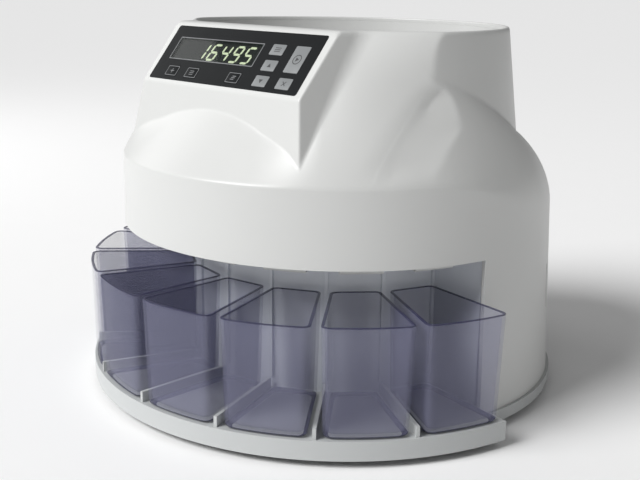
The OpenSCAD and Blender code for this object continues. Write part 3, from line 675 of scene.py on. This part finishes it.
def digit_segments(cx, cy, w, h, t):
    """Outlines of the seven segments of a digit, by letter."""
    x, y, g = w / 2, h / 2, 0.25

    def across(y0):
        return [(cx - x + g, y0), (cx - x + g + t / 2, y0 - t / 2), (cx + x - g - t / 2, y0 - t / 2),
                (cx + x - g, y0), (cx + x - g - t / 2, y0 + t / 2), (cx - x + g + t / 2, y0 + t / 2)]

    def down(x0, y0, y1):
        return [(x0, y0 + g), (x0 + t / 2, y0 + g + t / 2), (x0 + t / 2, y1 - g - t / 2), (x0, y1 - g),
                (x0 - t / 2, y1 - g - t / 2), (x0 - t / 2, y0 + g + t / 2)]

    return {"a": across(cy + y), "g": across(cy), "d": across(cy - y), "f": down(cx - x, cy, cy + y),
            "b": down(cx + x, cy, cy + y), "e": down(cx - x, cy - y, cy), "c": down(cx + x, cy - y, cy)}


def display():
    """Window, the line round it, and the dark screen with lit and unlit segments."""
    cx, cy, w, h = LCD
    glass = Builder()
    prism(glass, rounded(cx, cy, w, h, 0.5), -0.7, 0.12)
    glass.piece("display_glass", [GLASS], replaces=["lcd_window"], slot="window")
    line = Builder()
    frame_ring(line, lambda inset: rounded(cx, cy, w - 2 * inset, h - 2 * inset, 0.6), 0.7, 0.10, 0.16)
    line.piece("display_frame_line", [OUTLINE], slot="sheet")
    back = Builder()
    prism(back, rounded(cx, cy, w - 3, h - 1, 0.5), -4.5, -1.1)
    for i, char in enumerate(DIGITS):
        outlines = digit_segments(FIRST_DIGIT + i * DIGIT_PITCH, cy - 0.4, DIGIT_W, DIGIT_H, SEGMENT_W)
        for letter, outline in outlines.items():
            on = letter in SEGMENTS[char]
            slanted = [(x + (y - cy) * DIGIT_SLANT, y) for x, y in outline]
            prism(back, slanted, -1.15, -1.02 if on else -1.08, 1 if on else 2)
    back.piece("display_screen", [DISPLAY, DIGIT, GHOST], replaces=["lcd_module"], slot="lcd", sharp=30)


# ---- Cups ----
def cup_outline(inset, radius, arc_points=14, corner_points=5):
    """Plan of a cup that points to the front, as (x, y), drawn in by inset, with rounded corners."""
    half = math.radians(CUP_PITCH / 2)
    deep = inset + radius
    edge = (CUP_GAP / 2 + deep) / math.cos(half)
    slope = math.tan(half)
    out_r = SHELF_R - deep
    a, b, c = 1 + slope * slope, -2 * slope * edge, edge * edge - out_r * out_r
    n_out = (-b + math.sqrt(b * b - 4 * a * c)) / (2 * a)
    corner_out = (n_out * slope - edge, n_out)
    n_in = CUP_INNER + deep
    corner_in = (n_in * slope - edge, n_in)
    side = -half
    radial = math.atan2(corner_out[1], corner_out[0])
    right = []
    for i in range(corner_points + 1):
        t = i / corner_points
        angle = -math.pi / 2 + (side + math.pi / 2) * t
        right.append((corner_in[0] + radius * math.cos(angle), corner_in[1] + radius * math.sin(angle)))
    for i in range(corner_points + 1):
        angle = side + (radial - side) * i / corner_points
        right.append((corner_out[0] + radius * math.cos(angle), corner_out[1] + radius * math.sin(angle)))
    start = math.atan2(right[-1][0], right[-1][1])
    arc_r = math.hypot(*right[-1])
    for i in range(1, arc_points // 2 + 1):
        angle = start * (1 - i / (arc_points / 2))
        right.append((arc_r * math.sin(angle), arc_r * math.cos(angle)))
    left = [(-x, y) for x, y in reversed(right[:-1])]
    plan = right + left
    return [(x, -y) for x, y in reversed(plan)]


def cups():
    """Open cups with a rounded floor edge and a darker rim, one for each station of the shelf; the rim and
    the outer floor edge are painted shade for the dark look of tinted walls seen edge-on.
    """
    low = SHELF_Z + 0.3
    draft = math.tan(math.radians(1.3))
    outer_corner, inner_corner, floor_round = 5.0, 3.2, 3.0
    shoulder = CUP_RIM_Z - 0.5
    for number in range(1, CUPS + 1):
        turn = math.radians((number - (CUPS + 1) / 2) * CUP_PITCH)
        cos_t, sin_t = math.cos(turn), math.sin(turn)

        def ring(z, inset, radius):
            plan = cup_outline(inset + (CUP_RIM_Z - z) * draft, radius)
            return [(x * cos_t - y * sin_t, x * sin_t + y * cos_t, z) for x, y in plan]

        outside, inside = [], []
        for i in range(5):
            a = math.radians(90 * i / 4)
            rise, inset = floor_round * (1 - math.cos(a)), floor_round * (1 - math.sin(a))
            outside.append(ring(low + rise, inset, outer_corner))
        wall_low = low + floor_round
        levels = [wall_low + (shoulder - wall_low) * i / 6 for i in range(1, 7)]
        outside += [ring(z, 0, outer_corner) for z in levels]
        rim = [
            ring(CUP_RIM_Z - 0.12, 0.12, 4.9),
            ring(CUP_RIM_Z, 0.5, 4.6),
            ring(CUP_RIM_Z, CUP_WALL - 0.5, 3.6),
            ring(CUP_RIM_Z - 0.12, CUP_WALL - 0.12, 3.3),
            ring(shoulder, CUP_WALL, inner_corner),
        ]
        inside += [ring(z, CUP_WALL, inner_corner) for z in reversed(levels[:-1])]
        for i in range(5):
            a = math.radians(90 * i / 4)
            rise, inset = floor_round * (1 - math.sin(a)), floor_round * (1 - math.cos(a))
            inside.append(ring(low + CUP_WALL + rise, CUP_WALL + inset, inner_corner))
        build = Builder()
        build.loft(outside + rim + inside)
        n = len(outside[0])
        first_rim_band = len(outside) - 1
        # The outer floor-edge bands and the rim bands take the darker copy: painted shade.
        painted_shade_bands = [*range(3), *range(first_rim_band, first_rim_band + len(rim))]
        for k in painted_shade_bands:
            build.index[k * n:(k + 1) * n] = [1] * n
        build.piece(f"cup_{number}_shell", [CUP, CUP_EDGE_SHADE], body=f"cup_{number}",
                    replaces=[f"coin_cup_{number}"], slot="cup", sharp=50)


# ---- Hopper ----
def bowl():
    """Inside wall of the hopper, from the mouth down to the ring round the disc, with its outer flange."""
    f = np.arange(0, 360, 2.5)
    signed = np.where(f > 180, f - 360, f)
    low, high, foot = 137.0, RIM_Z - WALL, DISC_R + 4
    skin, flange_r, flange_thick, levels = 1.8, 136.0, 2.0, 24

    def ring(t, inset):
        blend = t ** 1.15
        r = foot - inset + (mouth_at(signed, 0.6 + inset) - foot + inset) * blend
        return polar(signed, r, low + (high - low) * t).tolist()

    ts = [i / levels for i in range(levels + 1)]
    rings = [ring(t, skin) for t in reversed(ts)]
    rings += [polar(signed, flange_r, z).tolist() for z in (low, low + flange_thick)]
    rings += [ring(t, 0.0) for t in ts[1:]]
    verts = [p for r in rings for p in r]
    n = len(f)
    faces = []
    for k in range(len(rings)):
        after = (k + 1) % len(rings)
        for i in range(n):
            j = (i + 1) % n
            faces.append((k * n + j, k * n + i, after * n + i, after * n + j))
    make("hopper_wall", verts, faces, [WHITE], replaces=["hopper_bowl"], slot="housing")


# ---- CAD pieces that keep their own mesh ----
LOOKS = {
    "base_pan": (GREY, 0.8),
    "rubber_feet": (RUBBER, 0.6),
    "core_drum": (DRUM, 0.4),
    "deck_plate": (STEEL, 0.2),
    "chute_ring": (WHITE, 0.4),
    "sizing_rail": (STEEL, 0.2),
    "coin_deflector": (BLACK, 0.4),
    "sorting_disc": (TURNED, 0.3),
    "disc_pad": (RUBBER, 0.3),
    "hub_cap": (BLACK, 1.2),
    "drive_shaft": (TURNED, 0.3),
    "bearing_block": (ALU, 0.4),
    "upper_bearing": (STEEL, 0.3),
    "lower_bearing": (STEEL, 0.3),
    "drive_pulley": (BLACK, 0.3),
    "drive_belt": (RUBBER, 0.2),
    "motor_pulley": (ALU, 0.2),
    "motor_shaft": (TURNED, 0.2),
    "motor": (STEEL, 0.8),
    "motor_bracket": (STEEL, 0.3),
    "main_board": (BOARD, 0.1),
    "power_supply": (STEEL, 0.3),
    "rear_panel": (BLACK, 0.4),
    "mains_inlet": (BLACK, 0.4),
    "switch_body": (BLACK, 0.4),
    "power_rocker": (BLACK, 0.4),
    "data_port": (BLACK, 0.3),
    "display_board": (BOARD, 0.1),
    "key_switches": (BLACK, 0.2),
    "coin_sensor": (BOARD, 0.1),
    "housing_screws": (STEEL, 0.2),
    "board_screws": (STEEL, 0.2),
}


def carried():
    """Gives each CAD piece that stays its material and the width of its rounded edges."""
    for node, (material, width) in LOOKS.items():
        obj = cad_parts[node]
        obj.data.materials.clear()
        obj.data.materials.append(material)
        bevel(obj, width)


# ---- Floor, lights and camera ----
def stage():
    """Plain pale floor, with its half-width in metres."""
    half = 30.0
    mesh = bpy.data.meshes.new("floor")
    corners = [(-half, -half, 0), (half, -half, 0), (half, half, 0), (-half, half, 0)]
    mesh.from_pydata(corners, [], [(0, 1, 2, 3)])
    mesh.materials.append(finish("floor", (0.94, 0.94, 0.94), 0.7, bump=0.02, mottle=0.004))
    floor = bpy.data.objects.new("floor", mesh)
    bpy.context.scene.collection.objects.link(floor)


def softbox(edge, across, size, power):
    """A square light that runs from a point on its edge in the direction across, and faces the keypad.

    Its places and size are in metres.
    """
    light = bpy.data.lights.new("softbox", "AREA")
    light.shape = "SQUARE"
    light.size = size
    light.energy = power
    obj = bpy.data.objects.new("softbox", light)
    bpy.context.scene.collection.objects.link(obj)
    keypad = Vector((0, -0.1, 0.23))
    x_axis = Vector(across).normalized()
    centre = Vector(edge) + x_axis * size / 2
    z_axis = Vector(edge) - keypad
    z_axis = (z_axis - x_axis * z_axis.dot(x_axis)).normalized()
    axes = Matrix((x_axis, z_axis.cross(x_axis), z_axis)).transposed()
    obj.matrix_world = Matrix.Translation(centre) @ axes.to_4x4()


def lights():
    """Even pale surroundings, a broad sun from the front left and one softbox."""
    world = bpy.data.worlds.new("studio")
    bpy.context.scene.world = world
    world.use_nodes = True
    back = world.node_tree.nodes["Background"]
    back.inputs["Color"].default_value = (1, 1, 1, 1)
    back.inputs["Strength"].default_value = 0.24
    sun = bpy.data.lights.new("sun", "SUN")
    sun.energy = 3.2
    sun.angle = math.radians(30)
    obj = bpy.data.objects.new("sun", sun)
    bpy.context.scene.collection.objects.link(obj)
    towards_sun = Vector((-0.22, -0.73, 0.66))
    obj.rotation_euler = towards_sun.to_track_quat("Z", "Y").to_euler()
    softbox((-0.956, -0.324, 0.949), (-0.89, 0.14, -0.43), 0.8, 3.2)


def camera():
    """Camera that circles the machine's axis by turn, looks down by pitch, then swings by yaw and roll."""
    turn, pitch = math.radians(44.34), math.radians(14.47)
    yaw, roll = math.radians(-1.03), math.radians(1.09)
    distance, aim_z = 749.0, 93.5
    focal_px, frame_px, sensor = 1019.6, 640, 36
    around = Matrix.Rotation(turn, 3, "Z")
    place = around @ Vector((0, -distance * math.cos(pitch), aim_z + distance * math.sin(pitch)))
    forward = Vector((0, math.cos(pitch), -math.sin(pitch)))
    right = Vector((1, 0, 0))
    up = right.cross(forward)
    ahead = forward * math.cos(yaw) + right * math.sin(yaw)
    side = right * math.cos(yaw) - forward * math.sin(yaw)
    tilted_right = side * math.cos(roll) + up * math.sin(roll)
    tilted_up = up * math.cos(roll) - side * math.sin(roll)
    axes = Matrix((around @ tilted_right, around @ tilted_up, -(around @ ahead))).transposed()
    data = bpy.data.cameras.new("camera")
    data.sensor_width = sensor
    data.lens = focal_px / frame_px * sensor
    data.clip_end = 100
    obj = bpy.data.objects.new("camera", data)
    bpy.context.scene.collection.objects.link(obj)
    obj.matrix_world = Matrix.Translation(place * MM) @ axes.to_4x4()
    bpy.context.scene.camera = obj


bpy.context.scene.view_settings.view_transform = "Standard"
carried()
housing()
sheet_with_holes()
keys()
display()
cups()
bowl()
stage()
lights()
camera()
